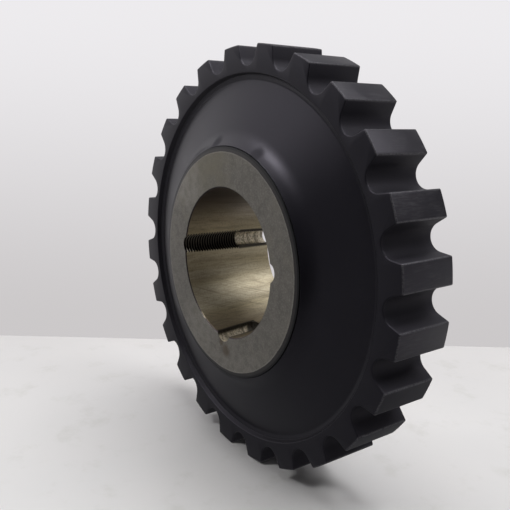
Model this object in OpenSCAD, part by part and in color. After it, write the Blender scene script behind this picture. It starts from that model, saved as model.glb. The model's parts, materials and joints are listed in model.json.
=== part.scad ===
// Toothed flexible coupling element: a steel hub with a taper-bush seat, and a rubber
// disc with 24 driving teeth moulded and bonded onto it.
// The disc stands upright as it would on a bench, on two of its teeth.
// The origin is on the hub's axis, half way along the hub. The axis lies along Y, the
// large end of the taper faces -Y (the front) and +Z is up.

/* [Hub] */
// Length of the hub along its axis, the length of the bush that it takes
hub_len = 76.2; // [60:0.1:90]
// Outer diameter of the hub, where the rubber is bonded to it
hub_d = 165; // [150:0.5:175]
// Width of the shallow bevel between the machined end face and the rubber
face_bevel_w = 3.5; // [1:0.1:8]
// Depth of that bevel
face_bevel_h = 0.8; // [0.4:0.1:3]

/* [Taper seat] */
// Diameter of the seat at its large end
seat_d = 108; // [90:0.1:115]
// Included angle of the seat
seat_angle = 8; // [4:0.5:10]
// Small bevel that breaks the edge of the seat at the large end
seat_edge = 0.8; // [0.2:0.1:1.5]

/* [Half-holes] */
// Pitch circle diameter of the half-holes
half_hole_pcd = 102; // [98:0.5:106]
// Diameter of the half-holes, over the thread where they are threaded
half_hole_d = 15.9; // [12:0.1:18]
// Threaded length of the two screw half-holes, from the front face
thread_depth = 48; // [30:1:60]
// Diameter of the plain bore that carries on from the thread to the rear face
pilot_d = 11.5; // [6:0.1:11.9]
// Depth of the plain blind half-hole used to draw the bush out
blind_depth = 31; // [20:1:45]
// Point angle of the drill that made the blind half-hole
drill_point = 118; // [90:1:140]
// Angle from the blind half-hole round to each threaded one
screw_angle = 95; // [80:1:120]

/* [Toothed rim] */
// Number of teeth
teeth = 24; // [20:1:26]
// Diameter over the tooth tips
tip_d = 303; // [290:0.5:330]
// Height of the teeth, from the gullet bottom to the tip
tooth_h = 14.2; // [11:0.1:16]
// Radial depth of the rim, from the tooth tips in to the web
rim_depth = 19; // [18:0.5:26]
// Width of the rim along the axis
rim_w = 43; // [35:0.5:55]
// Radius of the round gullet bottom
gullet_r = 8.9; // [6:0.1:10]
// Lean of each gullet flank away from the gullet's centre line
flank_angle = 20; // [10:0.5:24]
// Height of the small flat that breaks the tooth tip's edge at each flank
tip_break = 1.4; // [1:0.1:2.5]
// Small bevel of the tooth tip at the front and rear of the rim
tip_bevel = 1; // [0.5:0.1:2]

/* [Web] */
// Depth from the rim's face to the corner where the step would meet the web
step_h = 4.2; // [3.5:0.1:8]
// Slope of the step
step_slope = 45; // [35:1:60]
// Rounding of the step's upper edge
step_edge_r = 2; // [0.5:0.1:2.5]
// Fillet at the step's foot
step_foot_r = 6; // [2:0.1:7]
// Width of the flare that climbs to the hub's face, measured out from the hub
flare_w = 5.6; // [4:0.1:12]
// Height of that flare along the axis
flare_h = 6.7; // [4:0.1:10]
// Fillet between the flare and the web
flare_r = 25; // [4:0.5:28]

/* [Hidden] */
$fn = 96;
past = 1;
// Lean of the small flat at the tooth tip, from the gullet's centre line
break_lean = 55;
// How far inside the gullet's round bottom each flank starts
flank_inset = 0.05;
hub_r = hub_d / 2;
face_r = hub_r - face_bevel_w;
seat_r = seat_d / 2;
tip_r = tip_d / 2;
root_r = tip_r - tooth_h;
step_r = tip_r - rim_depth;
rim_z = rim_w / 2;
hub_z = hub_len / 2;
seat_lean = tan(seat_angle / 2);
seat_small_r = seat_r - hub_len * seat_lean;
rubber_z = hub_z - face_bevel_h;
pitch = 360 / teeth;
gullet_y = root_r + gullet_r;

// Where the web's face would meet the step and where it would meet the flare, and the
// slopes that follow
foot_r = step_r - step_h / tan(step_slope);
foot_z = rim_z - step_h;
bend_r = hub_r + flare_w;
bend_z = rubber_z - flare_h;
web_slope = atan((bend_z - foot_z) / (foot_r - bend_r));
flare_slope = atan(flare_h / flare_w);

// Share of the step and of the flare that their fillets leave straight, at the least, and
// the fillets that there is room for
straight_share = 0.05;
step_room = (1 - straight_share) * step_h / sin(step_slope) - step_edge_r * tan(step_slope / 2);
step_fillet_r = min(step_foot_r, step_room / tan((step_slope + web_slope) / 2));
flare_room = (1 - straight_share) * norm([flare_w, flare_h]);
flare_fillet_r = min(flare_r, flare_room / tan((flare_slope - web_slope) / 2));

// Turns a piece made along Z so that its front (+Z) faces -Y and its +Y points up
module stand_up() {
    rotate([90, 0, 0]) children();
}

// The region between a corner and an arc that rounds it. Added to a profile it fillets
// an inside corner, and taken away it rounds an outside one. The corner's two sides leave
// it at the angles a and b, less than half a turn apart.
module corner_fill(corner, a, b, r) {
    half = (b - a) / 2;
    reach = r / tan(half);
    centre = corner + r / sin(half) * [cos(a + half), sin(a + half)];
    difference() {
        polygon([
            corner,
            corner + reach * [cos(a), sin(a)],
            centre,
            corner + reach * [cos(b), sin(b)]
        ]);
        translate(centre) circle(r = r);
    }
}

// Half of the rubber's section, from the middle plane to the front, to be revolved.
// X is the distance from the axis and Y runs towards the front.
module web_half_section() {
    difference() {
        union() {
            polygon([
                [hub_r, 0],
                [tip_r, 0],
                [tip_r, rim_z - tip_bevel],
                [tip_r - tip_bevel, rim_z],
                [step_r, rim_z],
                [foot_r, foot_z],
                [bend_r, bend_z],
                [hub_r, rubber_z]
            ]);
            corner_fill([bend_r, bend_z], -web_slope, 180 - flare_slope, flare_fillet_r);
            corner_fill([foot_r, foot_z], step_slope, 180 - web_slope, step_fillet_r);
        }
        corner_fill([step_r, rim_z], step_slope - 180, 0, step_edge_r);
    }
}

// One gullet's outline at 12 o'clock: a round bottom, leaning flanks, and a wider lean
// where each flank meets the tooth tip
module gullet_section() {
    // The flanks cross the round bottom just inside the points where they would touch it
    reach = gullet_r - flank_inset;
    tangent = reach * [cos(flank_angle), -sin(flank_angle)];
    break_y = tip_r - tip_break;
    break_half = reach / cos(flank_angle) + (break_y - gullet_y) * tan(flank_angle);
    outer_y = tip_r + past;
    outer_half = break_half + (outer_y - break_y) * tan(break_lean);
    translate([0, gullet_y]) circle(r = gullet_r);
    polygon([
        [-tangent[0], gullet_y + tangent[1]],
        [tangent[0], gullet_y + tangent[1]],
        [break_half, break_y],
        [outer_half, outer_y],
        [-outer_half, outer_y],
        [-break_half, break_y]
    ]);
}

module gullets() {
    for (i = [0 : teeth - 1]) {
        rotate([0, 0, i * pitch])
            translate([0, 0, -rim_z - past])
                linear_extrude(height = rim_w + 2 * past)
                    gullet_section();
    }
}

// The rubber: a dished web bonded to the hub, with a toothed rim round it
module rubber_disc() {
    color([0.13, 0.13, 0.145])
        stand_up()
            difference() {
                rotate_extrude() {
                    web_half_section();
                    mirror([0, 1, 0]) web_half_section();
                }
                gullets();
            }
}

// The hub's outside: a cylinder with a shallow bevel at each end
module hub_blank() {
    rotate_extrude()
        polygon([
            [0, -hub_z],
            [face_r, -hub_z],
            [hub_r, -rubber_z],
            [hub_r, rubber_z],
            [face_r, hub_z],
            [0, hub_z]
        ]);
}

// The seat's cone, past both faces, and the 45 degree bevel at its large end. The bevel's
// cone starts inside the seat, so that the two surfaces cross.
module taper_seat() {
    translate([0, 0, -hub_z - past])
        cylinder(
            h = hub_len + 2 * past,
            r1 = seat_small_r - past * seat_lean,
            r2 = seat_r + past * seat_lean
        );
    translate([0, 0, hub_z - 2 * seat_edge])
        cylinder(
            h = 2 * seat_edge + past,
            r1 = seat_r - seat_edge,
            r2 = seat_r + seat_edge + past
        );
}

// A screw half-hole at 6 o'clock: the threaded length, then a narrower bore right through
module screw_half_hole() {
    translate([0, -half_hole_pcd / 2, hub_z - thread_depth])
        cylinder(h = thread_depth + past, d = half_hole_d);
    translate([0, -half_hole_pcd / 2, -hub_z - past])
        cylinder(h = hub_len, d = pilot_d);
}

// The plain blind half-hole at 6 o'clock, with its drilled point
module blind_half_hole() {
    point_h = half_hole_d / 2 / tan(drill_point / 2);
    translate([0, -half_hole_pcd / 2, hub_z - blind_depth]) {
        cylinder(h = blind_depth + past, d = half_hole_d);
        translate([0, 0, -point_h]) cylinder(h = point_h, d1 = 0, d2 = half_hole_d);
    }
}

// The steel hub: bored to a taper, with three half-holes that it shares with the bush
module hub() {
    color([0.66, 0.64, 0.6])
        stand_up()
            difference() {
                hub_blank();
                taper_seat();
                blind_half_hole();
                for (side = [-1, 1]) {
                    rotate([0, 0, side * screw_angle]) screw_half_hole();
                }
            }
}

hub();
rubber_disc();
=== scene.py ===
# %% [markdown]
# A toothed flexible coupling element, dressed for its picture. The object has two pieces:
# a steel hub, bored to a taper and with three half-holes in its bore, and a rubber disc
# with 24 driving teeth that is moulded onto the hub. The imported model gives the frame, in
# metres: the hub's axis is Y, the front faces -Y and +Z is up.
#
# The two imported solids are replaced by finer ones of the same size, because the packed
# ones have no screw thread and their edges are sharp where the real ones are broken.

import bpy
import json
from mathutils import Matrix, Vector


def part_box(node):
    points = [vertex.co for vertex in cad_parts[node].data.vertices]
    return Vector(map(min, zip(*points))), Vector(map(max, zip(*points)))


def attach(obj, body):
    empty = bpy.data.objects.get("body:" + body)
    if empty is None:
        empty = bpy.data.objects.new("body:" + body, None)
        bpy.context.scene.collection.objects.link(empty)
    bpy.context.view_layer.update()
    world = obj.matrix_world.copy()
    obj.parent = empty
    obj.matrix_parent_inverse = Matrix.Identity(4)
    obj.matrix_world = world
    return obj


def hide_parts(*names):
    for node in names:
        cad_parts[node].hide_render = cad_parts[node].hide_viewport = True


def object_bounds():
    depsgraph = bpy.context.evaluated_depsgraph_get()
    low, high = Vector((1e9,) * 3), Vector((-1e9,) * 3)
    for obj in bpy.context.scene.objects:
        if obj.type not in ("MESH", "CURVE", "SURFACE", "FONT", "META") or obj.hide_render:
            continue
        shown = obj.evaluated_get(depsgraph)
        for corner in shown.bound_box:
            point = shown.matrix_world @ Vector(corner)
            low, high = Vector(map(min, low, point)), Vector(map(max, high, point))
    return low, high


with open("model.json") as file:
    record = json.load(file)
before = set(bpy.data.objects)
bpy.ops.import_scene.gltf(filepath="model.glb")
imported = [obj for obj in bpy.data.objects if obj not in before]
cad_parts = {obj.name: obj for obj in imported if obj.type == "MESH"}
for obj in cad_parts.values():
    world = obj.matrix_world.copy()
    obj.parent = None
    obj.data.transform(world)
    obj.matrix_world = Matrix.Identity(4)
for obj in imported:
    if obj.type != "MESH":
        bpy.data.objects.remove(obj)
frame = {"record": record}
CAD_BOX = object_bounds()
print(f"the packed model is {CAD_BOX[1].x - CAD_BOX[0].x:.4f} m across")

# %% [markdown]
# Sizes come first. What the frame knows is read from it: the hub's box gives the hub's
# length and diameter, and the record's mounts give the taper seat and the toothed rim.
# The rest are the drawing's own sizes, written in millimetres.

# %% Sizes read from the frame
import json
import math

import bmesh
import bpy
from mathutils import Quaternion, Vector

MM = 0.001
MOUNTS = {mount["name"]: mount["dims"] for mount in frame["record"]["mounts"]}

HUB_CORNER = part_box("hub")[1]
HUB_HALF = HUB_CORNER.y
HUB_R = HUB_CORNER.x
SEAT_R = MOUNTS["taper_seat"]["r_mm"] * MM
TIP_R = MOUNTS["tooth_rim"]["r_mm"] * MM
RIM_HALF = MOUNTS["tooth_rim"]["length_mm"] * MM / 2
TEETH = MOUNTS["tooth_rim"]["count"]
print(f"hub {2e3 * HUB_R:.1f} x {2e3 * HUB_HALF:.1f} mm, rim {2e3 * TIP_R:.1f} mm, {TEETH} teeth")

# %% [markdown]
# The hub's own sizes: its bevels, the taper's full angle, and the three half-holes. Angles
# go round the axis from 3 o'clock, as seen from the front.

# %% Sizes of the hub
BEVEL_WIDTH = 3.5 * MM
BEVEL_DEPTH = 0.8 * MM
SEAT_ANGLE = math.radians(8)
SEAT_EDGE = 0.8 * MM
HALF_HOLE_PITCH_R = 51 * MM
HALF_HOLE_R = 7.95 * MM
SCREW_ANGLES = (175, 5)
BLIND_ANGLE = -90
THREAD_DEPTH = 48 * MM
THREADS_PER_INCH = 11
PILOT_R = 5.75 * MM
BLIND_DEPTH = 31 * MM
DRILL_POINT = math.radians(118)

FACE_R = HUB_R - BEVEL_WIDTH
RUBBER_Y = HUB_HALF - BEVEL_DEPTH
SEAT_LEAN = math.tan(SEAT_ANGLE / 2)
THREAD_PITCH = 25.4 / THREADS_PER_INCH * MM
THREAD_HEIGHT = 0.64 * THREAD_PITCH
THREAD_END = THREAD_DEPTH - HUB_HALF
BLIND_END = BLIND_DEPTH - HUB_HALF
print(f"thread {2e3 * HALF_HOLE_R:.1f} mm, pitch {1e3 * THREAD_PITCH:.2f} mm")

# %% [markdown]
# The rubber's own sizes: the teeth, then the step from the rim's face down to the web, with
# its steep wall, its ledge and its foot, and last the flare that climbs to the hub.

# %% Sizes of the rubber
TOOTH_HEIGHT = 14.2 * MM
RIM_DEPTH = 19 * MM
GULLET_R = 8.9 * MM
FLANK_ANGLE = math.radians(20)
TOOTH_EDGE = 0.8 * MM
STEP_EDGE_R = 0.8 * MM
STEP_LEAN = 0.1 * MM
WALL_FOOT_R = 0.4 * MM
LEDGE_R = 130.4 * MM
LEDGE_WIDTH = 0.7 * MM
LEDGE_DEPTH = 3.2 * MM
LEDGE_EDGE_R = 1 * MM
FOOT_AT_R = 127.9 * MM
FOOT_DEPTH = 4.07 * MM
FOOT_R = 2.5 * MM
FLARE_WIDTH = 5.6 * MM
FLARE_HEIGHT = 6.7 * MM
FLARE_R = 25 * MM
LIP_R = 0.5 * MM

STEP_R = TIP_R - RIM_DEPTH
SECTOR = 2 * math.pi / TEETH
print(f"one tooth every {math.degrees(SECTOR):.0f} degrees, gullets {1e3 * TOOTH_HEIGHT:.1f} mm deep")

# %% [markdown]
# Both pieces are round, so each starts as an outline: half of the section, with sharp
# corners. An arc of the right radius takes the place of each corner that the real part
# rounds. The Bevel tool could round them too, but it takes one width for all corners, and
# here each corner has its own radius.

# %% Outlines with rounded corners
ARC_STEP = math.radians(7)


def turned_by(arm, a):
    """A flat vector, turned by an angle."""
    return Vector(
        (arm.x * math.cos(a) - arm.y * math.sin(a), arm.x * math.sin(a) + arm.y * math.cos(a))
    )


def rounded(corners):
    """The outline through corners (u, v, radius), with an arc at each corner that has a radius."""
    points = []
    for i, (u, v, radius) in enumerate(corners):
        corner = Vector((u, v))
        if not radius:
            points.append(corner)
            continue
        before = (Vector(corners[i - 1][:2]) - corner).normalized()
        after = (Vector(corners[(i + 1) % len(corners)][:2]) - corner).normalized()
        half = before.angle(after) / 2
        centre = corner + (before + after).normalized() * radius / math.sin(half)
        first = corner + before * radius / math.tan(half) - centre
        last = corner + after * radius / math.tan(half) - centre
        turn = math.atan2(first.x * last.y - first.y * last.x, first.dot(last))
        count = max(2, math.ceil(abs(turn) / ARC_STEP))
        points.extend(centre + turned_by(first, turn * k / count) for k in range(count + 1))
    return points


# %% [markdown]
# An outline is drawn as one would by hand: a single vertex, extruded from point to point.
# A plane that is merged at its centre gives that first vertex. The chain's two loose ends
# are then picked and joined by an edge.

# %% Drawing an outline
def draw_chain(name, points):
    """Starts a piece, in edit mode: a chain of edges from point to point."""
    bpy.ops.object.select_all(action="DESELECT")
    bpy.ops.mesh.primitive_plane_add(size=MM, location=points[0])
    piece = bpy.context.object
    piece.name = piece.data.name = name
    bpy.ops.object.mode_set(mode="EDIT")
    bpy.ops.mesh.select_all(action="SELECT")
    bpy.ops.mesh.merge(type="CENTER")
    for here, there in zip(points, points[1:]):
        bpy.ops.mesh.extrude_region_move(TRANSFORM_OT_translate={"value": there - here})
    return piece


def settle():
    """Leaves edit mode and puts the object's place into its mesh."""
    bpy.ops.object.mode_set(mode="OBJECT")
    bpy.ops.object.transform_apply(location=True, rotation=True, scale=True)


def draw_outline(name, points, fill):
    """A closed chain of edges through points in space, or a face within it."""
    piece = draw_chain(name, points)
    drawn = bmesh.from_edit_mesh(piece.data)
    for vertex in drawn.verts:
        vertex.select = len(vertex.link_edges) == 1
    drawn.select_flush_mode()
    bmesh.update_edit_mesh(piece.data)
    bpy.ops.mesh.edge_face_add()
    if fill:
        bpy.ops.mesh.select_all(action="SELECT")
        bpy.ops.mesh.edge_face_add()
    settle()
    return piece


# %% [markdown]
# Spinning an outline about its axis makes a turned piece, as a lathe does. The seam where
# the turn meets itself is merged, and the normals are worked out again, because a spin can
# leave a shape inside out.

# %% Turned pieces
HUB_STEPS = 256
HOLE_STEPS = 64
MERGE_GAP = 2e-6


def clean_normals():
    """In edit mode: merges doubles and turns all faces outwards."""
    bpy.ops.mesh.select_all(action="SELECT")
    bpy.ops.mesh.remove_doubles(threshold=MERGE_GAP)
    bpy.ops.mesh.normals_make_consistent(inside=False)


def turned(name, corners, axis_at=(0, 0), steps=HOLE_STEPS):
    """A piece turned about a line along Y through axis_at = (x, z). Corners are (radius, y, rounding)."""
    x, z = axis_at
    points = [Vector((x + r, y, z)) for r, y in rounded(corners)]
    piece = draw_outline(name, points, fill=False)
    bpy.ops.object.mode_set(mode="EDIT")
    bpy.ops.mesh.select_all(action="SELECT")
    bpy.ops.mesh.spin(steps=steps, angle=2 * math.pi, center=(x, 0, z), axis=(0, 1, 0))
    clean_normals()
    bpy.ops.object.mode_set(mode="OBJECT")
    return piece


# %% [markdown]
# Holes and gullets are cut with the Boolean modifier, as a drill or a cutter would. Each
# cutter reaches a little past the surface that it opens, because two faces in one plane
# can leave slivers. After each cut the piece is measured: a good one has no open edges.

# %% Cutting and measuring
PAST = 1 * MM
CM3 = 1e-6


def cut(piece, cutter):
    """Takes the cutter's shape out of the piece and removes the cutter."""
    bpy.ops.object.select_all(action="DESELECT")
    bpy.context.view_layer.objects.active = piece
    modifier = piece.modifiers.new("cut", "BOOLEAN")
    modifier.operation = "DIFFERENCE"
    modifier.solver = "EXACT"
    modifier.object = cutter
    bpy.ops.object.modifier_apply(modifier=modifier.name)
    bpy.data.objects.remove(cutter)


def report(piece):
    """Prints a piece's size and whether its mesh is closed."""
    made = bmesh.new()
    made.from_mesh(piece.data)
    open_edges = sum(len(edge.link_faces) != 2 for edge in made.edges)
    triangles = sum(len(face.verts) - 2 for face in made.faces)
    volume = made.calc_volume(signed=True) / CM3
    made.free()
    print(f"{piece.name}: {triangles} triangles, {open_edges} open edges, {volume:.1f} cm3")


# %% [markdown]
# The hub is a plain turned ring. Its outline goes once round the section: the outside
# where the rubber is bonded, a shallow bevel at each end, the two machined faces, and the
# tapered seat with its broken edges. The corner between face and bevel gets a small
# rounding, because light catches that edge all round the face.

# %% The hub's turned blank
FACE_EDGE_R = 0.35 * MM
REAR_EDGE = 0.5 * MM


def seat_radius(y):
    """The seat's radius at a place along the axis. The large end is at the front, -Y."""
    return SEAT_R - (y + HUB_HALF) * SEAT_LEAN


hub = turned(
    "hub_steel",
    [
        (HUB_R, -RUBBER_Y, 0),
        (FACE_R, -HUB_HALF, FACE_EDGE_R),
        (SEAT_R + SEAT_EDGE, -HUB_HALF, 0),
        (seat_radius(SEAT_EDGE - HUB_HALF), SEAT_EDGE - HUB_HALF, 0),
        (seat_radius(HUB_HALF - REAR_EDGE), HUB_HALF - REAR_EDGE, 0),
        (seat_radius(HUB_HALF) + REAR_EDGE, HUB_HALF, 0),
        (FACE_R, HUB_HALF, FACE_EDGE_R),
        (HUB_R, RUBBER_Y, 0),
    ],
    steps=HUB_STEPS,
)
report(hub)

# %% [markdown]
# A taper bush is held by screws that sit half in the bush and half in the hub. The hub
# holds the thread of two of them. A thread is a V-shaped outline, one pitch long, that
# climbs one pitch at each turn, which is what the Screw modifier does. The rod that it
# makes is cut square at both ends, which also closes it, and then cuts the hub as a tap
# would.

# %% A threaded rod
THREAD_STEPS = 40
THREAD_CREST = 0.16 * THREAD_PITCH
SPARE_TURNS = 2


def thread_rod(name, axis_at):
    """A threaded rod along Y through axis_at, from before the front face to the thread's end."""
    core_r = HALF_HOLE_R - THREAD_HEIGHT
    start = -HUB_HALF - PAST
    low = start - SPARE_TURNS * THREAD_PITCH
    crest_y = (THREAD_PITCH - THREAD_CREST) / 2
    ridge = [
        Vector((core_r, 0, 0)),
        Vector((HALF_HOLE_R, crest_y, 0)),
        Vector((HALF_HOLE_R, crest_y + THREAD_CREST, 0)),
        Vector((core_r, THREAD_PITCH, 0)),
    ]
    rod = draw_chain(name, ridge)
    settle()
    screw = rod.modifiers.new("thread", "SCREW")
    screw.axis = "Y"
    screw.screw_offset = THREAD_PITCH
    screw.iterations = math.ceil((THREAD_END - low) / THREAD_PITCH) + SPARE_TURNS
    screw.steps = screw.render_steps = THREAD_STEPS
    screw.use_merge_vertices = True
    screw.merge_threshold = MERGE_GAP / 2
    bpy.ops.object.modifier_apply(modifier=screw.name)
    rod.location = (axis_at[0], low, axis_at[1])
    settle()
    bpy.ops.object.mode_set(mode="EDIT")
    clean_normals()
    for y, side in ((start, -1), (THREAD_END, 1)):
        bpy.ops.mesh.select_all(action="SELECT")
        bpy.ops.mesh.bisect(
            plane_co=(0, y, 0), plane_no=(0, side, 0), use_fill=True, clear_outer=True
        )
    clean_normals()
    bpy.ops.object.mode_set(mode="OBJECT")
    return rod


# %% [markdown]
# Each threaded half-hole carries on as a narrower plain bore, the tapping drill's, right
# through to the rear face.

# %% The threaded half-holes
def half_hole_axis(angle):
    """Where a half-hole's own axis is, as (x, z)."""
    a = math.radians(angle)
    return HALF_HOLE_PITCH_R * math.cos(a), HALF_HOLE_PITCH_R * math.sin(a)


pilot = [
    (0, -HUB_HALF, 0),
    (PILOT_R, -HUB_HALF, 0),
    (PILOT_R, HUB_HALF + PAST, 0),
    (0, HUB_HALF + PAST, 0),
]
for angle in SCREW_ANGLES:
    rod = thread_rod("tap", half_hole_axis(angle))
    report(rod)
    cut(hub, rod)
    cut(hub, turned("pilot_drill", pilot, half_hole_axis(angle)))

# %% [markdown]
# The third half-hole is plain and blind. A screw in it pushes the bush out of its seat. It
# was drilled, so it ends in a shallow cone.

# %% The blind half-hole
blind_point = BLIND_END + HALF_HOLE_R / math.tan(DRILL_POINT / 2)
blind = [
    (0, -HUB_HALF - PAST, 0),
    (HALF_HOLE_R, -HUB_HALF - PAST, 0),
    (HALF_HOLE_R, BLIND_END, 0),
    (0, blind_point, 0),
]
cut(hub, turned("blind_drill", blind, half_hole_axis(BLIND_ANGLE)))
report(hub)

# %% [markdown]
# The rubber repeats 24 times round the rim, so one sector of 15 degrees is made and
# copied. Its section is drawn at one end of the sector and spun to the other, which makes
# a solid slice, and one gullet is cut through the middle of the slice. From the hub
# outwards the section has a small lip, the flare, the dished web, a narrow ledge, a steep
# wall and the rim.

# %% One sector of the rubber
SECTOR_STEPS = 12

front_half = [
    (HUB_R, RUBBER_Y, LIP_R),
    (HUB_R + FLARE_WIDTH, RUBBER_Y - FLARE_HEIGHT, FLARE_R),
    (FOOT_AT_R, RIM_HALF - FOOT_DEPTH, FOOT_R),
    (LEDGE_R, RIM_HALF - LEDGE_DEPTH, LEDGE_EDGE_R),
    (LEDGE_R + LEDGE_WIDTH, RIM_HALF - LEDGE_DEPTH, WALL_FOOT_R),
    (STEP_R + STEP_LEAN, RIM_HALF, STEP_EDGE_R),
    (TIP_R, RIM_HALF, 0),
]
front = [(r, -y, rounding) for r, y, rounding in front_half]
rear = list(reversed(front_half))


def at_angle(r, y, a):
    """A point at radius r and place y, at angle a from 12 o'clock."""
    return Vector((r * math.sin(a), y, r * math.cos(a)))


section = [at_angle(r, y, SECTOR / 2) for r, y in rounded(front + rear)]
rubber = draw_outline("rubber_disc_moulding", section, fill=True)
bpy.ops.object.mode_set(mode="EDIT")
bpy.ops.mesh.select_all(action="SELECT")
bpy.ops.mesh.spin(steps=SECTOR_STEPS, angle=SECTOR, center=(0, 0, 0), axis=(0, 1, 0))
clean_normals()
bpy.ops.object.mode_set(mode="OBJECT")
report(rubber)

# %% [markdown]
# A gullet is a V whose point is rounded off by a large arc. The V's two sides are the
# flanks of the teeth, and its point lies where the flanks would meet.

# %% The gullet
gullet_z = TIP_R - TOOTH_HEIGHT + GULLET_R
apex_z = gullet_z - GULLET_R / math.sin(FLANK_ANGLE)
top_z = TIP_R + PAST
top_x = (top_z - apex_z) * math.tan(FLANK_ANGLE)
vee = [(-top_x, top_z, 0), (0, apex_z, GULLET_R), (top_x, top_z, 0)]
gullet_outline = [Vector((u, -RIM_HALF - PAST, v)) for u, v in rounded(vee)]
gullet = draw_outline("gullet_cutter", gullet_outline, fill=True)
through = (0, 2 * (RIM_HALF + PAST), 0)
bpy.ops.object.mode_set(mode="EDIT")
bpy.ops.mesh.select_all(action="SELECT")
bpy.ops.mesh.extrude_region_move(TRANSFORM_OT_translate={"value": through})
clean_normals()
bpy.ops.object.mode_set(mode="OBJECT")
cut(rubber, gullet)
report(rubber)

# %% [markdown]
# A mould never gives a sharp edge. The edges of the tooth tips and the mouths of the
# gullet are picked by their place and bevelled together, so that they meet in a rounded
# corner. The flat ends of the slice are left alone, because the next slice joins there.

# %% Rounded tooth edges
BEVEL_SEGMENTS = 3
SHARP = math.radians(30)
FLAT = math.radians(0.05)
NEAR = 0.02 * MM


def on_slice_end(vertex):
    """Whether a vertex lies on one of the slice's two flat ends."""
    a = abs(math.atan2(vertex.co.x, vertex.co.z))
    return abs(a - SECTOR / 2) * vertex.co.xz.length < NEAR


bpy.ops.object.select_all(action="DESELECT")
bpy.context.view_layer.objects.active = rubber
bpy.ops.object.mode_set(mode="EDIT")
bpy.ops.mesh.select_all(action="SELECT")
bpy.ops.mesh.dissolve_limited(angle_limit=FLAT)
bpy.ops.mesh.select_all(action="DESELECT")
bpy.ops.mesh.select_mode(type="EDGE")
shape = bmesh.from_edit_mesh(rubber.data)
picked = 0
for edge in shape.edges:
    ends = edge.verts
    at_tooth = all(v.co.xz.length > STEP_R + STEP_EDGE_R for v in ends)
    sharp = len(edge.link_faces) == 2 and edge.calc_face_angle(0) > SHARP
    edge.select = at_tooth and sharp and not all(on_slice_end(v) for v in ends)
    picked += edge.select
bmesh.update_edit_mesh(rubber.data)
bpy.ops.mesh.bevel(
    offset=TOOTH_EDGE, segments=BEVEL_SEGMENTS, affect="EDGES", clamp_overlap=False
)
print(f"{picked} edges bevelled")

# %% [markdown]
# The slice's two flat ends are deleted, or they would stay inside the disc as walls. The
# slice is then copied round the axis, and merging the seams closes the disc.

# %% Twenty-four sectors
bpy.ops.mesh.select_mode(type="FACE")
shape = bmesh.from_edit_mesh(rubber.data)
for face in shape.faces:
    face.select = all(on_slice_end(v) for v in face.verts)
bmesh.update_edit_mesh(rubber.data)
bpy.ops.mesh.delete(type="ONLY_FACE")
bpy.ops.mesh.select_all(action="SELECT")
bpy.ops.mesh.spin(
    steps=TEETH - 1, dupli=True, angle=SECTOR * (TEETH - 1), center=(0, 0, 0), axis=(0, 1, 0)
)
clean_normals()
bpy.ops.object.mode_set(mode="OBJECT")
report(rubber)

# %% [markdown]
# Both pieces are round in some places and sharp in others. Smooth shading by angle hides
# the facets of the round parts and keeps every edge that turns by more than the limit.

# %% Smooth shading
SMOOTH_ANGLE = math.radians(32)
for piece in (hub, rubber):
    bpy.ops.object.select_all(action="DESELECT")
    piece.select_set(True)
    bpy.context.view_layer.objects.active = piece
    bpy.ops.object.shade_smooth_by_angle(angle=SMOOTH_ANGLE)
    print(f"{piece.name}: smooth up to {math.degrees(SMOOTH_ANGLE):.0f} degrees")

# %% [markdown]
# Materials are built from nodes. A few short helpers keep that readable: one adds a node
# with its inputs, and the others do sums.

# %% Nodes and sums
def put(tree, kind, inputs=None, **settings):
    """Adds a shader node. An input is a value, or the socket that feeds it."""
    made = tree.nodes.new("ShaderNode" + kind)
    for name, value in settings.items():
        setattr(made, name, value)
    for key, value in (inputs or {}).items():
        if isinstance(value, bpy.types.NodeSocket):
            tree.links.new(value, made.inputs[key])
        else:
            made.inputs[key].default_value = value
    return made


def calc(tree, operation, *values):
    """The result of one Math node."""
    return put(tree, "Math", dict(enumerate(values)), operation=operation).outputs[0]


def product(tree, first, *others):
    """Values multiplied together."""
    for other in others:
        first = calc(tree, "MULTIPLY", first, other)
    return first


def most(tree, first, *others):
    """The largest of some values."""
    for other in others:
        first = calc(tree, "MAXIMUM", first, other)
    return first


def opposite(tree, value):
    """One minus a value."""
    return calc(tree, "SUBTRACT", 1.0, value)


def added(tree, base, amount, strength):
    """A base value, plus an amount times its strength."""
    return calc(tree, "MULTIPLY_ADD", amount, strength, base)


def between(tree, amount, first, second):
    """A plain value between two."""
    return put(tree, "Mix", {0: amount, 2: first, 3: second}).outputs[0]


# %% [markdown]
# A finish is worked out from where a point is on the piece. A mask is a value from 0 to 1
# that says how much of a finish there is at each point. It comes from a noise texture, or
# from the distance to some line or place, faded smoothly between two limits.

# %% Places and masks
SPOT_CORE = 0.3


def fade(tree, value, low, high):
    """0 where a value is low, 1 where it is high, and smooth between. Low may be the larger."""
    limits = {"Value": value, "From Min": low, "From Max": high}
    return put(tree, "MapRange", limits, interpolation_type="SMOOTHSTEP").outputs[0]


def noise(tree, vector, scale, detail=3.0, roughness=0.5, distortion=0.0):
    """A cloud of values about 0.5."""
    inputs = {
        "Vector": vector,
        "Scale": scale,
        "Detail": detail,
        "Roughness": roughness,
        "Distortion": distortion,
    }
    return put(tree, "TexNoise", inputs).outputs[0]


def distance(tree, u, v):
    """How far a point (u, v) is from the axis."""
    return calc(tree, "SQRT", calc(tree, "ADD", product(tree, u, u), product(tree, v, v)))


def near(tree, place, centre, size):
    """A spot: 1 in its core, fading to 0 at the given distance from its centre."""
    gap = put(tree, "VectorMath", {0: place, 1: centre}, operation="DISTANCE").outputs["Value"]
    return fade(tree, gap, size, SPOT_CORE * size)


def towards(tree, direction, aim):
    """1 where a direction points along an aim, 0 where it is square to it."""
    inputs = {0: direction, 1: aim.normalized()}
    return put(tree, "VectorMath", inputs, operation="DOT_PRODUCT").outputs["Value"]


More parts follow.
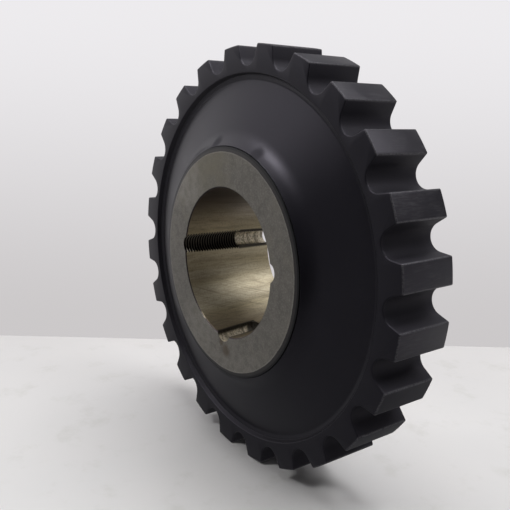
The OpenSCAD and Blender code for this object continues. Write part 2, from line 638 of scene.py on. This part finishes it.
def stretched(tree, vector, along):
    """Coordinates that make a pattern run along Y."""
    return put(tree, "Mapping", {"Vector": vector, "Scale": (1, along, 1)}).outputs[0]


def vector_of(tree, **parts):
    """A vector from its X, Y and Z parts."""
    return put(tree, "CombineXYZ", {name.upper(): part for name, part in parts.items()}).outputs[0]


def places(tree):
    """A point on the piece: its place, and the place's three coordinates."""
    place = put(tree, "TexCoord").outputs["Object"]
    x, y, z = put(tree, "SeparateXYZ", {"Vector": place}).outputs
    return place, x, y, z


# %% [markdown]
# Colours are laid one over the other, as grime lies on steel. Each layer has a mask, a
# strength and a colour.

# %% Colours and materials
def blend(tree, amount, first, second):
    """A colour between two."""
    return put(tree, "Mix", {0: amount, 6: first, 7: second}, data_type="RGBA").outputs[2]


def layered(tree, tone, layers):
    """A colour with layers over it. A layer is (mask, strength, colour)."""
    for mask, strength, colour in layers:
        tone = blend(tree, product(tree, mask, strength), tone, colour)
    return tone


def new_material(name):
    """A material with its node tree and its main shader."""
    made = bpy.data.materials.new(name)
    made.use_nodes = True
    return made, made.node_tree, made.node_tree.nodes["Principled BSDF"]


def dress(piece, material):
    """Gives a piece one material."""
    piece.data.materials.clear()
    piece.data.materials.append(material)
    print(f"{piece.name}: {material.name}, {len(material.node_tree.nodes)} nodes")


# %% [markdown]
# The hub is one piece of steel with four finishes: the turned faces, the bored seat, the
# half-holes, and the primer on the bevel round each face, whose inner edge wanders. Each
# could be a material of its own, but then they would meet in hard lines. One material with
# masks lets them run into each other.

# %% Where the steel's finishes lie
steel, tree, shader = new_material("turned_steel")
place, x, y, z = places(tree)
radius = distance(tree, x, z)
on_face = fade(tree, calc(tree, "ABSOLUTE", y), HUB_HALF - 0.6 * MM, HUB_HALF - 0.2 * MM)
primer_r = added(tree, FACE_R - 0.5 * MM, noise(tree, place, scale=90, detail=4), 1.2 * MM)
on_primer = calc(tree, "GREATER_THAN", radius, primer_r)
past_seat = added(tree, radius, y, SEAT_LEAN)
MIDDLE_R = seat_radius(0)
in_hole = fade(tree, past_seat, MIDDLE_R + 0.1 * MM, MIDDLE_R + 0.5 * MM)
print(f"the seat's middle radius is {1e3 * MIDDLE_R:.2f} mm")

# %% [markdown]
# Turning leaves fine rings on a face, and this one has dulled to a warm grey, with paler
# clouds, an olive stain and two specks of rust. Two pale patches, at the upper left and
# the lower left, and a paler bottom are painted light, and the brighter outer edge is a
# painted highlight.

# %% The turned face
FACE_COLOUR = (0.193, 0.182, 0.160, 1)
FACE_PALE = (0.310, 0.292, 0.258, 1)
FACE_DULL = (0.115, 0.106, 0.094, 1)
STAIN_COLOUR = (0.215, 0.196, 0.142, 1)
RUST_COLOUR = (0.10, 0.065, 0.035, 1)
EDGE_COLOUR = (0.52, 0.50, 0.47, 1)


def on_front(x_mm, z_mm):
    """A place on the front face, given in millimetres from the axis."""
    return x_mm * MM, -HUB_HALF, z_mm * MM


cloud = noise(tree, place, scale=28, detail=5, roughness=0.6)
mottle = noise(tree, place, scale=160, detail=3)
grain = noise(tree, place, scale=900, detail=3, roughness=0.6)
rings = noise(tree, vector_of(tree, x=radius), scale=2600, detail=2)
# Painted light: the two pale spots and the paler bottom. The clouds are the steel's own tone.
pale = most(
    tree,
    product(tree, near(tree, place, on_front(-54, 56), 36 * MM), 0.85),
    product(tree, near(tree, place, on_front(-33, -60), 34 * MM), 0.6),
    product(tree, fade(tree, cloud, 0.35, 0.7), 0.22),
    product(tree, fade(tree, z, -30 * MM, -72 * MM), 0.38),
)
stained = near(tree, place, on_front(-22, 66), 45 * MM)
olive = most(
    tree,
    product(tree, stained, fade(tree, cloud, 0.3, 0.7), 0.7),
    product(tree, fade(tree, cloud, 0.5, 0.72), 0.35),
)
rust = most(
    tree,
    near(tree, place, on_front(4, -64.5), 7 * MM),
    near(tree, place, on_front(-2, -60), 4 * MM),
)
# Painted highlight along the face's outer edge, where light catches its rounding.
painted_edge_highlight = fade(tree, radius, FACE_R - 1.1 * MM, FACE_R - 0.5 * MM)
face_tone = layered(tree, FACE_COLOUR, [
    (pale, 1.0, FACE_PALE),
    (fade(tree, mottle, 0.42, 0.66), 0.35, FACE_DULL),
    (fade(tree, grain, 0.42, 0.72), 0.2, EDGE_COLOUR),
    (olive, 1.0, STAIN_COLOUR),
    (rust, 0.6, RUST_COLOUR),
    (product(tree, painted_edge_highlight, fade(tree, mottle, 0.35, 0.6)), 0.22, EDGE_COLOUR),
])
print(f"face: {len(tree.nodes)} nodes so far")

# %% [markdown]
# The seat has streaks and scores that run along the bore, fine pits and a film of old oil,
# which is brown at the bottom. Painted shade darkens its top. Noise that is stretched along
# Y makes the streaks. The scores in the lower half run slantwise, so their noise is laid
# out on the unrolled bore, with the way round growing along Y.

# %% The tapered seat
SEAT_COLOUR = (0.48, 0.425, 0.310, 1)
SEAT_OLIVE = (0.36, 0.305, 0.190, 1)
SEAT_DARK = (0.12, 0.095, 0.057, 1)
SEAT_BROWN = (0.10, 0.072, 0.048, 1)
SEAT_PAINTED_SHADE = (0.045, 0.034, 0.034, 1)
SCORE_SLANT = 0.45
SCORE_STRETCH = 0.06

along = stretched(tree, place, 0.08)
streaks = noise(tree, along, scale=230, detail=5, roughness=0.65)
broad = noise(tree, along, scale=60, detail=3)
fine = noise(tree, stretched(tree, place, 0.05), scale=900, detail=4, roughness=0.6)
pits = noise(tree, place, scale=700, detail=4, roughness=0.7)
around = product(tree, calc(tree, "ARCTAN2", x, z), SEAT_R)
score_place = vector_of(
    tree, x=added(tree, around, y, SCORE_SLANT), y=product(tree, y, SCORE_STRETCH)
)
scores = noise(tree, score_place, scale=480, detail=4, roughness=0.65)
scored = product(
    tree, fade(tree, scores, 0.50, 0.66), fade(tree, z, -12 * MM, -34 * MM)
)
seat_tone = layered(tree, SEAT_COLOUR, [
    (fade(tree, broad, 0.35, 0.7), 1.0, SEAT_OLIVE),
    (scored, 0.45, SEAT_DARK),
    (fade(tree, streaks, 0.46, 0.70), 0.36, SEAT_DARK),
    (fade(tree, fine, 0.45, 0.70), 0.32, SEAT_DARK),
    (fade(tree, pits, 0.46, 0.70), 0.34, SEAT_DARK),
    (fade(tree, z, -43 * MM, -52 * MM), 0.6, SEAT_BROWN),
    # Painted shade: the top of the seat darker.
    (fade(tree, z, 2 * MM, 46 * MM), 0.92, SEAT_PAINTED_SHADE),
])
print(f"seat: {len(tree.nodes)} nodes so far")

# %% [markdown]
# The thread is nearly black with painted shade in its roots, and has a little bare metal on
# its crests. The plain stretches are bright where the drill cut them, in bands, and painted
# shade darkens them along their edges and at the bottom of the blind hole. The two threaded
# holes mirror each other, so the distance to the right-hand one, with X made positive,
# serves for both.

# %% The half-holes
THREAD_CREST_COLOUR = (0.26, 0.235, 0.19, 1)
PAINTED_SHADE_COLOUR = (0.012, 0.010, 0.009, 1)
HOLE_COLOUR = (0.74, 0.665, 0.51, 1)
HOLE_DARK = (0.16, 0.135, 0.10, 1)


def from_hole(tree, x, z, angle):
    """How far a point (x, z) is from a half-hole's own axis."""
    hole_x, hole_z = half_hole_axis(angle)
    return distance(tree, calc(tree, "SUBTRACT", x, hole_x), calc(tree, "SUBTRACT", z, hole_z))


from_screw = from_hole(tree, calc(tree, "ABSOLUTE", x), z, SCREW_ANGLES[1])
from_blind = from_hole(tree, x, z, BLIND_ANGLE)
at_sides = calc(tree, "GREATER_THAN", z, -HALF_HOLE_PITCH_R / 2)
at_bottom = calc(tree, "LESS_THAN", z, -HALF_HOLE_PITCH_R / 2)

blotches = noise(tree, place, scale=620, detail=5, roughness=0.6)
bands = noise(tree, vector_of(tree, y=y), scale=210, detail=3, roughness=0.6)
# Painted shade along the edges of the plain half-holes and at the blind hole's bottom.
hole_edge_shade = fade(tree, past_seat, MIDDLE_R + 3.2 * MM, MIDDLE_R + 1.4 * MM)
hole_end_shade = product(tree, fade(tree, y, BLIND_END - 7 * MM, BLIND_END - 3 * MM), at_bottom)
# Painted shade in the thread's roots, bare metal on its crests.
root = fade(
    tree, from_screw, HALF_HOLE_R - 0.9 * THREAD_HEIGHT, HALF_HOLE_R - 0.45 * THREAD_HEIGHT
)
threaded = product(tree, calc(tree, "LESS_THAN", y, THREAD_END), at_sides)
hole_tone = layered(tree, HOLE_COLOUR, [
    (fade(tree, blotches, 0.35, 0.72), 1.0, HOLE_DARK),
    (fade(tree, bands, 0.45, 0.60), 0.6, HOLE_DARK),
    (most(tree, hole_edge_shade, hole_end_shade), 0.92, PAINTED_SHADE_COLOUR),
    (threaded, 1.0, blend(tree, root, THREAD_CREST_COLOUR, PAINTED_SHADE_COLOUR)),
])
print(f"half-holes: {len(tree.nodes)} nodes so far")

# %% [markdown]
# Painted shadow outlines each plain half-hole on the seat itself, and painted shade runs
# round the seat's broken edge, but for one stretch where bare metal sparkles. The primer is
# a brown grey that turns black where it meets the rubber. The finishes are laid over each
# other from the seat outwards.

# %% Painted shadows, primer and the whole colour
PRIMER_COLOUR = (0.030, 0.027, 0.027, 1)
PRIMER_EDGE = (0.006, 0.006, 0.007, 1)

# Painted shadow: a dark outline round each plain half-hole.
pilot_shadow = product(
    tree,
    fade(tree, from_screw, PILOT_R + 2.8 * MM, PILOT_R + 1.6 * MM),
    calc(tree, "GREATER_THAN", y, THREAD_END),
)
blind_shadow = product(
    tree,
    fade(tree, from_blind, HALF_HOLE_R + 1.8 * MM, HALF_HOLE_R + 0.8 * MM),
    calc(tree, "LESS_THAN", y, BLIND_END + 3 * MM),
)
sparkle = product(
    tree, near(tree, place, on_front(-28, -47), 5 * MM), fade(tree, grain, 0.4, 0.5)
)
# Painted shade along the seat's broken edge, left out where bare metal sparkles.
broken_edge_shade = product(
    tree,
    fade(tree, radius, SEAT_R + 0.95 * SEAT_EDGE, SEAT_R + 0.85 * SEAT_EDGE),
    fade(tree, y, SEAT_EDGE - HUB_HALF, 0.9 * SEAT_EDGE - HUB_HALF),
    opposite(tree, sparkle),
)
primer_edge = fade(tree, radius, HUB_R - 1.6 * MM, HUB_R - 1.0 * MM)
steel_tone = layered(tree, seat_tone, [
    (most(tree, pilot_shadow, blind_shadow), 0.93, PAINTED_SHADE_COLOUR),
    (in_hole, 1.0, hole_tone),
    (on_face, 1.0, face_tone),
    (broken_edge_shade, 1.0, SEAT_PAINTED_SHADE),
    (on_primer, 1.0, blend(tree, primer_edge, PRIMER_COLOUR, PRIMER_EDGE)),
])
tree.links.new(steel_tone, shader.inputs["Base Color"])
print(f"colour of the steel: {len(tree.nodes)} nodes")

# %% [markdown]
# Dull steel with a film of oil is only partly a mirror, so its metallic value is well
# under 1. The streaks of the seat are rougher than what lies between them, and the same
# patterns that colour the steel also raise it a little.

# %% The steel's gloss and relief
SEAT_METAL = 0.70
FACE_METAL = 0.55
HOLE_ROUGHNESS = 0.5
PRIMER_ROUGHNESS = 0.5

metal = between(tree, on_face, SEAT_METAL, FACE_METAL)
tree.links.new(between(tree, on_primer, metal, 0.0), shader.inputs["Metallic"])
face_rough = added(tree, 0.46, mottle, 0.14)
seat_rough = added(tree, 0.31, streaks, 0.22)
rough = between(tree, on_face, between(tree, in_hole, seat_rough, HOLE_ROUGHNESS), face_rough)
tree.links.new(between(tree, on_primer, rough, PRIMER_ROUGHNESS), shader.inputs["Roughness"])
relief = between(tree, on_face, added(tree, streaks, pits, 0.8), added(tree, rings, grain, 0.5))
bump = put(tree, "Bump", {"Strength": 0.2, "Distance": 0.05 * MM, "Height": relief})
tree.links.new(bump.outputs[0], shader.inputs["Normal"])
dress(hub, steel)

# %% [markdown]
# The tops of the teeth are scuffed grey from being handled and stood on, and their edges
# are paler still, partly worn and partly a painted highlight. The worn edges could be
# painted by hand, one after the other. Here the angle round the axis is folded, so that
# every tooth has the same coordinates and one sum finds the edges of all 24.

# %% The rubber's wear
rubber_finish, tree, shader = new_material("moulded_rubber")
place, x, y, z = places(tree)
radius = distance(tree, x, z)
from_middle = calc(tree, "ABSOLUTE", y)

on_tips = fade(tree, radius, TIP_R - 1.2 * MM, TIP_R - 0.4 * MM)
scratches = noise(tree, stretched(tree, place, 0.12), scale=1100, detail=4, roughness=0.7)
handled = noise(tree, place, scale=60, detail=2)
scuffed = product(
    tree, on_tips, fade(tree, scratches, 0.40, 0.70), fade(tree, handled, 0.35, 0.62)
)

mouth_x = (TIP_R - apex_z) * math.tan(FLANK_ANGLE)
half_tooth = SECTOR / 2 - math.asin(mouth_x / TIP_R)
turn = calc(tree, "FRACT", calc(tree, "DIVIDE", calc(tree, "ARCTAN2", x, z), SECTOR))
from_tooth = product(tree, calc(tree, "ABSOLUTE", calc(tree, "SUBTRACT", turn, 0.5)), SECTOR)
from_flank = product(tree, calc(tree, "SUBTRACT", from_tooth, half_tooth), TIP_R)
flank_edge = product(
    tree,
    fade(tree, calc(tree, "ABSOLUTE", from_flank), 0.9 * MM, 0.2 * MM),
    fade(tree, radius, TIP_R - 1.3 * MM, TIP_R - 0.6 * MM),
)
corner = calc(tree, "ADD", radius, from_middle)
end_edge = fade(tree, corner, TIP_R + RIM_HALF - 1.1 * MM, TIP_R + RIM_HALF - 0.6 * MM)
wear = noise(tree, place, scale=900, detail=3, roughness=0.6)
# The paler edges are wear and a painted highlight along their rounding.
worn_and_highlit = product(tree, most(tree, flank_edge, end_edge), fade(tree, wear, 0.30, 0.62))
print(f"a tooth is {2e3 * half_tooth * TIP_R:.1f} mm wide at its tip")

# %% [markdown]
# The rubber is blue-black, in two tones that differ little. Dust lies on it here and
# there. A band along the foot of the rim's step at the left is painted lighter, as painted light.

# %% The rubber's colour
RUBBER_DARK = (0.0062, 0.0058, 0.0082, 1)
RUBBER_LIGHT = (0.0092, 0.0087, 0.0116, 1)
RUBBER_DUST_AND_LIGHT = (0.022, 0.021, 0.023, 1)
RUBBER_SCUFF = (0.060, 0.059, 0.062, 1)
RUBBER_WORN_AND_HIGHLIGHT = (0.115, 0.112, 0.118, 1)

flow = noise(tree, place, scale=14, detail=4, roughness=0.55, distortion=0.6)
dust = noise(tree, place, scale=320, detail=4, roughness=0.65)
# Painted light: a lighter band along the foot of the rim's step, on the left side only.
painted_corner_light = product(
    tree,
    fade(tree, radius, STEP_R - 18 * MM, STEP_R - 12 * MM),
    fade(tree, radius, STEP_R + 0.5 * MM, STEP_R - 0.5 * MM),
    fade(tree, x, 0.0, -70 * MM),
)
rubber_tone = layered(tree, RUBBER_DARK, [
    (fade(tree, flow, 0.3, 0.7), 1.0, RUBBER_LIGHT),
    (fade(tree, dust, 0.55, 0.75), 0.25, RUBBER_DUST_AND_LIGHT),
    # painted light at the step's foot, in the dust colour
    (painted_corner_light, 0.55, RUBBER_DUST_AND_LIGHT),
    (scuffed, 0.55, RUBBER_SCUFF),
    (worn_and_highlit, 0.55, RUBBER_WORN_AND_HIGHLIGHT),
])
tree.links.new(rubber_tone, shader.inputs["Base Color"])
print(f"colour of the rubber: {len(tree.nodes)} nodes")

# %% [markdown]
# The gloss of moulded rubber tells more than its colour. It varies where the rubber flowed
# in the mould. The rim is duller than the web, the insides of the gullets are duller
# still, and two finger smudges on the flare break the streak of light there.

# %% The rubber's gloss and relief
SPECULAR = 0.45
SHEEN_TINT = (0.90, 0.85, 1.0, 1)
SMUDGES_AT = ((0.0310, -0.0345, 0.0790), (-0.0180, -0.0345, 0.0850))
SMUDGE_SIZE = 8 * MM

shader.inputs["Specular IOR Level"].default_value = SPECULAR
shader.inputs["Specular Tint"].default_value = SHEEN_TINT
on_rim = fade(tree, radius, STEP_R - 0.5 * MM, STEP_R + 0.5 * MM)
in_gullet = product(
    tree,
    fade(tree, from_tooth, half_tooth, 1.1 * half_tooth),
    calc(tree, "GREATER_THAN", radius, STEP_R + 2 * MM),
    fade(tree, from_middle, RIM_HALF - 0.5 * MM, RIM_HALF - 1.5 * MM),
)
rough = added(tree, 0.30, flow, 0.14)
rough = added(tree, rough, scuffed, 0.15)
rough = added(tree, rough, on_rim, 0.09)
rough = added(tree, rough, in_gullet, 0.22)
for smudge_at in SMUDGES_AT:
    rough = added(tree, rough, near(tree, place, smudge_at, SMUDGE_SIZE), 0.3)
tree.links.new(rough, shader.inputs["Roughness"])
relief = added(tree, noise(tree, place, scale=1500, detail=2), scuffed, 0.5)
bump = put(tree, "Bump", {"Strength": 0.10, "Distance": 0.05 * MM, "Height": relief})
tree.links.new(bump.outputs[0], shader.inputs["Normal"])
dress(rubber, rubber_finish)

# %% [markdown]
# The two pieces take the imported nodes' places and ride on the one body there is.

# %% Riding and replacing
for piece, node_name, slot_name in ((hub, "hub", "hub_steel"), (rubber, "rubber_disc", "rubber")):
    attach(piece, "root")
    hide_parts(node_name)
    print(f"{piece.name} replaces {node_name}")

# %% [markdown]
# The camera stands close, to the right of the part and a little above its axis, so that
# the near teeth look large.

# %% Camera
CAMERA_AT = Vector((0.37511, -0.28657, 0.10814))
LOOK_AT = Vector((-0.00208, -0.00915, 0.00247))
ROLL = math.radians(1.365)
SENSOR = 36
LENS = 45.68

bpy.ops.object.camera_add(location=CAMERA_AT)
camera = bpy.context.object
camera.rotation_mode = "QUATERNION"
aim = LOOK_AT - CAMERA_AT
camera.rotation_quaternion = aim.to_track_quat("-Z", "Y") @ Quaternion((0, 0, 1), ROLL)
camera.data.sensor_width = SENSOR
camera.data.lens = LENS
camera.data.clip_start = 0.01
bpy.context.scene.camera = camera
print(f"camera {aim.length:.3f} m from the part")

# %% [markdown]
# The part stands on a white table with faint smudges. A large plane is enough, at the
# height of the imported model's lowest point.

# %% Table
FLOOR_Z = CAD_BOX[0].z
TABLE_SIZE = 8
TABLE_COLOUR = (0.81, 0.79, 0.78, 1)
TABLE_VEIN = (0.76, 0.755, 0.755, 1)
TABLE_SMUDGE = (0.68, 0.67, 0.645, 1)

bpy.ops.object.select_all(action="DESELECT")
bpy.ops.mesh.primitive_plane_add(size=TABLE_SIZE, location=(0, 0, FLOOR_Z))
table = bpy.context.object
table.name = "table"
white, tree, shader = new_material("white_table")
place, x, y, z = places(tree)
veins = noise(tree, place, scale=9, detail=4, roughness=0.6)
smudges = fade(tree, noise(tree, place, scale=26, detail=5, roughness=0.65), 0.52, 0.70)
table_tone = layered(tree, blend(tree, veins, TABLE_VEIN, TABLE_COLOUR), [
    (smudges, 0.55, TABLE_SMUDGE),
])
tree.links.new(table_tone, shader.inputs["Base Color"])
shader.inputs["Roughness"].default_value = 0.35
shader.inputs["Specular IOR Level"].default_value = 0.3
print(f"table: {TABLE_SIZE} m wide, at {1e3 * FLOOR_Z:.1f} mm")

# %% [markdown]
# A white table would mirror too brightly in the rubber in front of the part and beside it.
# So a mirrored ray sees those stretches dim, and black at the far right, but for a paler
# spot at the left. Other rays see the table as it is. The limits are in metres.

# %% What the part mirrors of the table
GLOOM_COLOUR = (0.20, 0.20, 0.205, 1)
NIGHT_COLOUR = (0.0, 0.0, 0.0, 1)
FRONT_FROM, FRONT_TO = 0.04, -0.02
SIDE_FROM, SIDE_TO = 0.03, 0.10
SIDE_OUTER, SIDE_INNER = 0.36, 0.20
RIGHT_FROM, RIGHT_TO = 0.16, 0.36
PALE_AT = (-0.22, -0.08, 0)
PALE_SIZE = 0.22
PALE_STRENGTH = 0.2


def glowing(tree, colour):
    """A shader that shows a colour at full strength."""
    return put(tree, "Emission", {"Color": colour, "Strength": 1.0}).outputs[0]


def over(tree, amount, first, second):
    """A shader between two."""
    return put(tree, "MixShader", {0: amount, 1: first, 2: second}).outputs[0]


rays = put(tree, "LightPath").outputs
from_part = distance(tree, x, y)
beside = product(
    tree, fade(tree, x, SIDE_FROM, SIDE_TO), fade(tree, from_part, SIDE_OUTER, SIDE_INNER)
)
dimmed = most(tree, fade(tree, y, FRONT_FROM, FRONT_TO), beside)
pale = product(tree, near(tree, place, PALE_AT, PALE_SIZE), PALE_STRENGTH)
gloom = product(tree, dimmed, opposite(tree, pale), rays["Is Glossy Ray"])
gloom_tone = blend(tree, fade(tree, x, RIGHT_FROM, RIGHT_TO), GLOOM_COLOUR, NIGHT_COLOUR)
shown = over(tree, gloom, shader.outputs[0], glowing(tree, gloom_tone))
print(f"mirrored table: {len(tree.nodes)} nodes so far")

# %% [markdown]
# Far from the lamps a table goes dark, which would draw a line at the horizon. With
# distance it therefore fades into the pale tone of the room, for the camera and for
# mirrored rays.

# %% The far table
FAR_COLOUR = (0.78, 0.77, 0.785, 1)
FAR_FROM, FAR_TO = 0.7, 1.5

mirrored = most(tree, rays["Is Glossy Ray"], rays["Is Transmission Ray"])
seen = most(tree, rays["Is Camera Ray"], product(tree, mirrored, opposite(tree, dimmed)))
far_off = product(tree, fade(tree, from_part, FAR_FROM, FAR_TO), seen)
shown = over(tree, far_off, shown, glowing(tree, FAR_COLOUR))
tree.links.new(shown, tree.nodes["Material Output"].inputs["Surface"])
dress(table, white)

# %% [markdown]
# A pale wall stands near, behind the part as the camera sees it, so its foot is seen as a
# soft line. It glows, with painted light that is darker at its foot and paler higher up,
# and so lights the part and the table a little and needs no lamp. It is clear from behind,
# so that it hides nothing when the part is seen from the other side.

# %% Wall
WALL_DISTANCE = 0.70
WALL_WIDTH, WALL_HEIGHT = 1.00, 0.46
WALL_LOW = (0.60, 0.58, 0.585, 1)
WALL_HIGH = (0.85, 0.835, 0.855, 1)
WALL_BRIGHT_AT = FLOOR_Z + 0.38

level_aim = Vector((aim.x, aim.y, 0)).normalized()
wall_at = Vector((CAMERA_AT.x, CAMERA_AT.y, 0)) + level_aim * WALL_DISTANCE
wall_at.z = FLOOR_Z + WALL_HEIGHT / 2
bpy.ops.object.select_all(action="DESELECT")
bpy.ops.mesh.primitive_plane_add(size=1, location=wall_at)
wall = bpy.context.object
wall.name = "wall"
wall.scale = (WALL_WIDTH, WALL_HEIGHT, 1)
wall.rotation_mode = "QUATERNION"
wall.rotation_quaternion = (-level_aim).to_track_quat("Z", "Y")
settle()

wall_glow = bpy.data.materials.new("wall_glow")
wall_glow.use_nodes = True
tree = wall_glow.node_tree
tree.nodes.clear()
height = places(tree)[3]
# Painted light: the wall's glow is darker at its foot and paler higher up.
wall_tone = blend(tree, fade(tree, height, FLOOR_Z, WALL_BRIGHT_AT), WALL_LOW, WALL_HIGH)
clear = put(tree, "BsdfTransparent").outputs[0]
behind = put(tree, "NewGeometry").outputs["Backfacing"]
put(tree, "OutputMaterial", {"Surface": over(tree, behind, glowing(tree, wall_tone), clear)})
dress(wall, wall_glow)

# %% [markdown]
# Two broad lamps light the part and the table. The one overhead keeps the shadow close to
# the foot, and the one at the right and behind makes the bright patch in the bore. A
# third, small one stands in front, at the left. Its diffuse light is turned off, because
# only its mirror image is wanted, as the streak on the flare.

# %% Lamps
def area_lamp(name, at, size, power):
    """A square lamp that faces the part. Metres and watts."""
    bpy.ops.object.light_add(type="AREA", location=at)
    made = bpy.context.object
    made.name = name
    made.data.shape = "SQUARE"
    made.data.size = size
    made.data.energy = power
    made.rotation_mode = "QUATERNION"
    made.rotation_quaternion = (-Vector(at)).to_track_quat("-Z", "Y")
    print(f"{name}: {power} W, {Vector(at).length:.2f} m away")
    return made


area_lamp("overhead_lamp", at=(0.04, 0.09, 1.34), size=1.05, power=13.2)
area_lamp("side_lamp", at=(0.68, 0.54, 1.05), size=0.62, power=5.2)
streak = area_lamp("streak_lamp", at=(-0.40, -0.86, 0.92), size=0.30, power=4.3)
streak.data.diffuse_factor = 0

# %% [markdown]
# The room itself is the world. In mirrored rays it is bright towards the upper left, has a
# soft glow low at the right, and is dark elsewhere, which gives the rubber its sheen on
# one side and its black on the other. To the camera it is as pale as the far table, and as
# light on the part it is weak, so that shadows stay.

# %% Room
SKY_AIM = Vector((-0.68, -0.36, 0.64))
GLOW_AIM = Vector((0.80, 0.52, 0.30))
ROOM_DARK = (0.030, 0.029, 0.036, 1)
ROOM_BRIGHT = (0.97, 0.95, 0.98, 1)
GLOW_COLOUR = (0.42, 0.41, 0.41, 1)
ROOM_LIGHT = (0.09, 0.09, 0.092, 1)

world = bpy.data.worlds.new("room")
world.use_nodes = True
bpy.context.scene.world = world
tree = world.node_tree
tree.nodes.clear()
direction = put(tree, "TexCoord").outputs["Generated"]
rays = put(tree, "LightPath").outputs
mirrored_tone = layered(tree, ROOM_DARK, [
    (fade(tree, towards(tree, direction, SKY_AIM), 0.70, 1.0), 1.0, ROOM_BRIGHT),
    (fade(tree, towards(tree, direction, GLOW_AIM), 0.86, 0.97), 1.0, GLOW_COLOUR),
])
room_tone = layered(tree, ROOM_LIGHT, [
    (rays["Is Glossy Ray"], 1.0, mirrored_tone),
    (rays["Is Camera Ray"], 1.0, FAR_COLOUR),
])
room = put(tree, "Background", {"Color": room_tone, "Strength": 1.0})
put(tree, "OutputWorld", {"Surface": room.outputs[0]})
print(f"room: {len(tree.nodes)} nodes")

# %% [markdown]
# The last cell sets how colours are shown.

# %% Finish
bpy.context.scene.view_settings.view_transform = "Standard"
bpy.context.view_layer.update()
